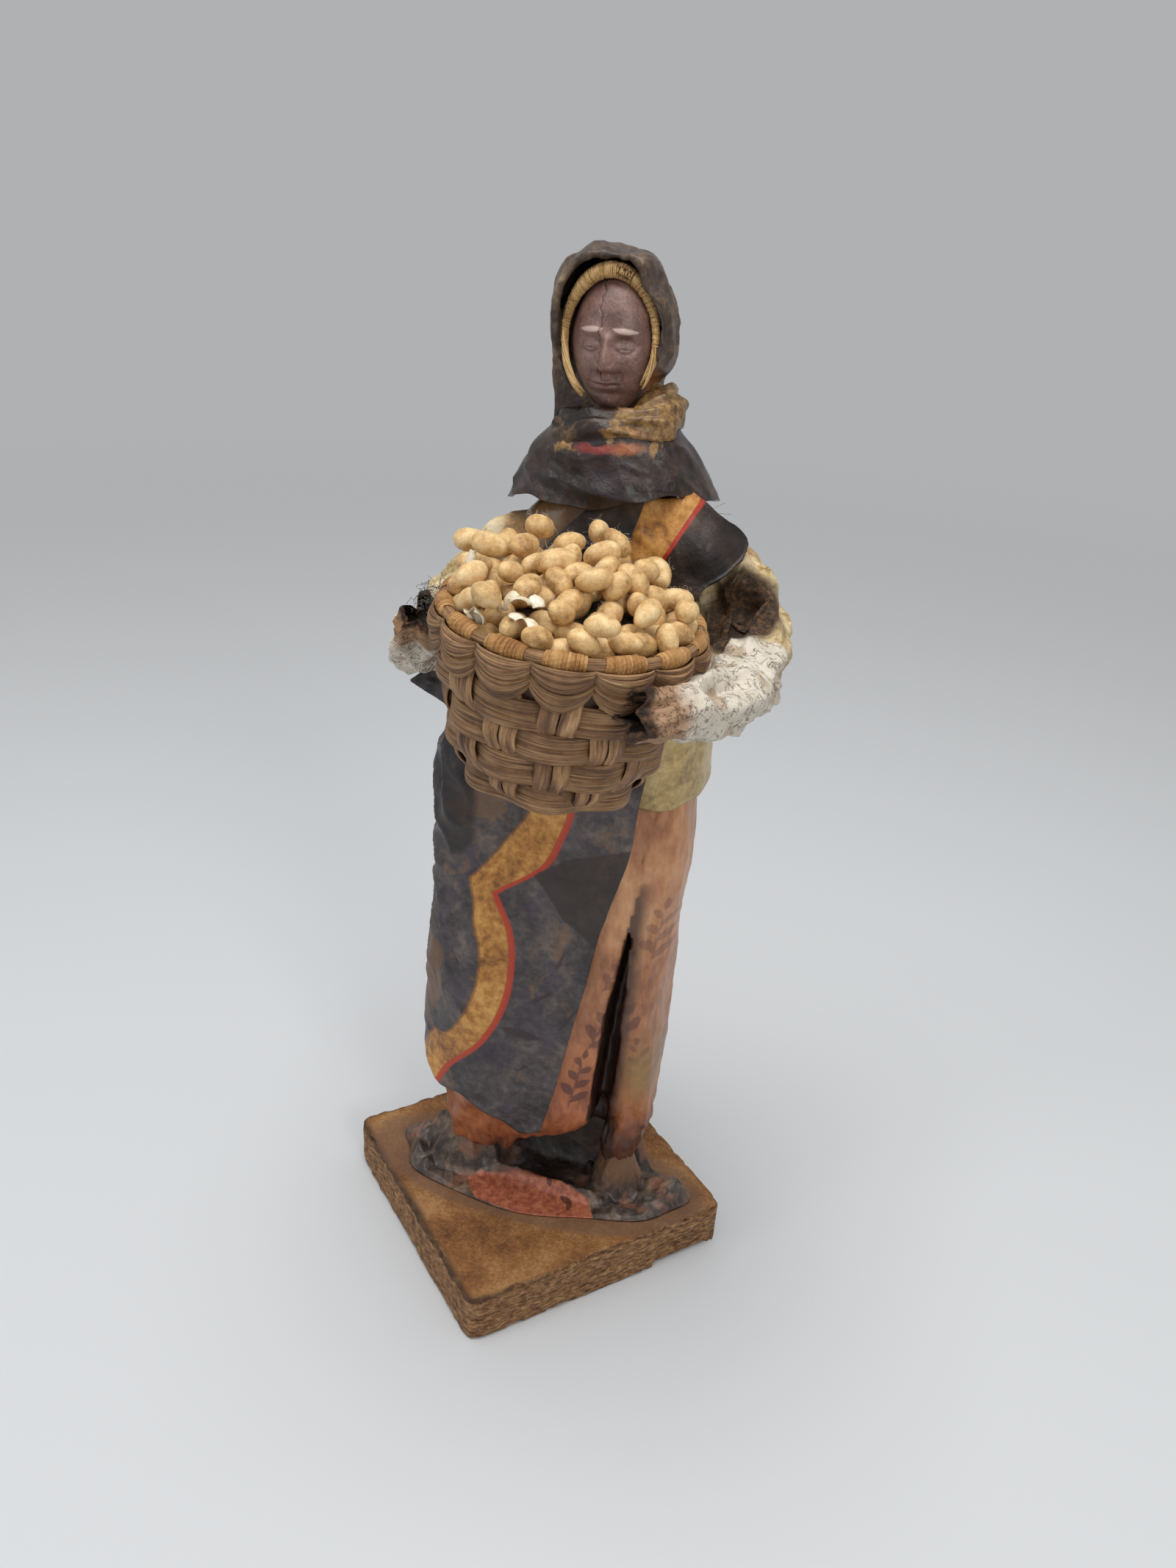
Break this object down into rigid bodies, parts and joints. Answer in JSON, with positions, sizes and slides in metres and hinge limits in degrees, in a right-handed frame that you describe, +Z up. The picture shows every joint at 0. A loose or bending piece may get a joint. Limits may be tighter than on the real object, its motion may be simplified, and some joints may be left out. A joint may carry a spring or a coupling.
{
  "type": "papier-mache figure",
  "caption": "Standing papier-mache figure in a hooded shawl holding a woven basket of seeds, on a square fibreboard base.",
  "frame": {"origin": "middle of the underside of the square base", "axes": "+Z up, -Y the way the figure faces (towards one corner of the base), +X the figure's left"},
  "size_m": [0.139, 0.1615, 0.3333],
  "materials": {
    "fibreboard": "raw orange-brown fibreboard with worn dark edges",
    "ground_paper": "crumpled varnished paper, grey-brown and salmon",
    "trouser_paper": "varnished peach paper with a leaf print",
    "tunic_paper": "varnished olive-cream paper",
    "shawl_paper": "satin slate paper with an ochre scalloped band",
    "hood_paper": "satin taupe and dark brown paper",
    "clay": "dark brown painted clay, satin",
    "plant_fibre": "golden plant fibre",
    "sleeve_paper": "cream paper, stained brown and chalky",
    "palm_strip": "dry palm strip, matt to satin",
    "crumpled_paper": "dull crumpled paper",
    "seed": "dry seed, dusty satin"
  },
  "bodies": {
    "root": {"base_board": "fibreboard", "ground_sheet": "ground_paper", "trousers": "trouser_paper", "tunic": "tunic_paper", "shawl_front_end": "shawl_paper", "hooded_shawl": "hood_paper", "head": "clay", "hair_roll": "plant_fibre", "sleeve_left": "sleeve_paper", "sleeve_right": "sleeve_paper", "basket": "palm_strip", "basket_filling": "crumpled_paper", "seed_01": "seed", "seed_02": "seed", "seed_03": "seed", "seed_04": "seed", "seed_05": "seed", "seed_06": "seed", "seed_07": "seed", "seed_08": "seed", "seed_09": "seed", "seed_10": "seed", "seed_11": "seed", "seed_12": "seed", "seed_13": "seed", "seed_14": "seed", "seed_15": "seed", "seed_16": "seed", "seed_17": "seed", "seed_18": "seed", "seed_19": "seed", "seed_20": "seed", "seed_21": "seed", "seed_22": "seed", "seed_23": "seed", "seed_24": "seed", "seed_25": "seed", "seed_26": "seed", "seed_27": "seed", "seed_28": "seed", "seed_29": "seed", "seed_30": "seed", "seed_31": "seed", "seed_32": "seed", "seed_33": "seed", "seed_34": "seed", "seed_35": "seed", "seed_36": "seed", "seed_37": "seed", "seed_38": "seed", "seed_39": "seed", "seed_40": "seed", "seed_41": "seed", "seed_42": "seed", "seed_43": "seed", "seed_44": "seed"}
  },
  "joints": []
}
